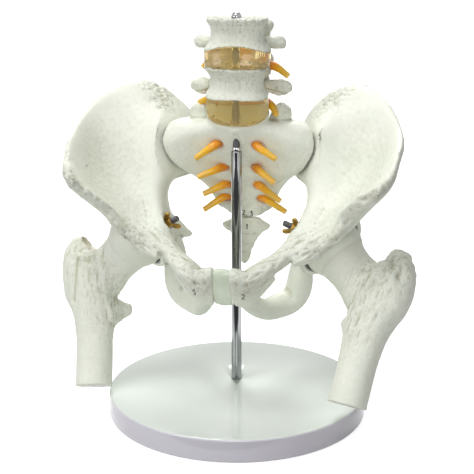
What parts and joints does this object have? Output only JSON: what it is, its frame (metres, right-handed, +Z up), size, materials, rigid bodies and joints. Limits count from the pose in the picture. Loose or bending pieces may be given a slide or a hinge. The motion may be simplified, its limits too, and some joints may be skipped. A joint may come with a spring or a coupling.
{
  "type": "pelvis anatomy model",
  "caption": "Life-size teaching model of a pelvis with sacrum, coccyx, two lumbar vertebrae, discs, nerve roots and turning half femurs, on a rod with a round base.",
  "frame": {"origin": "centre of the underside of the round base", "axes": "+Z up, the front of the pelvis faces -Y, +X towards the model's left side"},
  "size_m": [0.294, 0.21, 0.323],
  "materials": {
    "bone": "matt cast PVC, off-white",
    "base_plastic": "glossy white",
    "polished_rod": "polished",
    "bright_nut": "polished",
    "steel": "dark, threaded",
    "brass": "plain",
    "disc_amber": "translucent amber, flexible",
    "disc_pale": "translucent pale green, flexible",
    "nerve": "yellow, orange at the root"
  },
  "bodies": {
    "stand": {"base": "base_plastic", "base_screw": "steel", "base_washer": "steel", "coccyx": "bone", "disc_l4_l5": "disc_amber", "disc_l5_s1": "disc_amber", "hip_bone_left": "bone", "hip_bone_right": "bone", "hip_washer_left": "steel", "hip_washer_right": "steel", "l4_vertebra": "bone", "l5_vertebra": "bone", "nerve_l4_left": "nerve", "nerve_l4_right": "nerve", "nerve_l5_left": "nerve", "nerve_l5_right": "nerve", "nerve_s1_left": "nerve", "nerve_s1_right": "nerve", "nerve_s2_left": "nerve", "nerve_s2_right": "nerve", "nerve_s3_left": "nerve", "nerve_s3_right": "nerve", "nerve_s4_left": "nerve", "nerve_s4_right": "nerve", "nerve_trunk": "nerve", "pubic_disc": "disc_pale", "rod": "polished_rod", "rod_ring": "bright_nut", "sacrum": "bone", "threaded_rod": "steel", "top_nut": "bright_nut"},
    "femur_left": {"femur_left": "bone", "hip_bolt_left": "brass", "wing_nut_left": "brass"},
    "femur_right": {"femur_right": "bone", "hip_bolt_right": "brass", "wing_nut_right": "brass"}
  },
  "joints": [
    {"name": "hip_left", "type": "hinge", "parent": "stand", "child": "femur_left", "pos_m": [0.0762, 0.0055, 0.14], "axis": [0.7925, 0.3611, -0.4915], "range_deg": [-25, 10]},
    {"name": "hip_right", "type": "hinge", "parent": "stand", "child": "femur_right", "pos_m": [-0.0828, 0.0055, 0.14], "axis": [-0.7925, 0.3611, -0.4915], "range_deg": [-1, 40]}
  ]
}
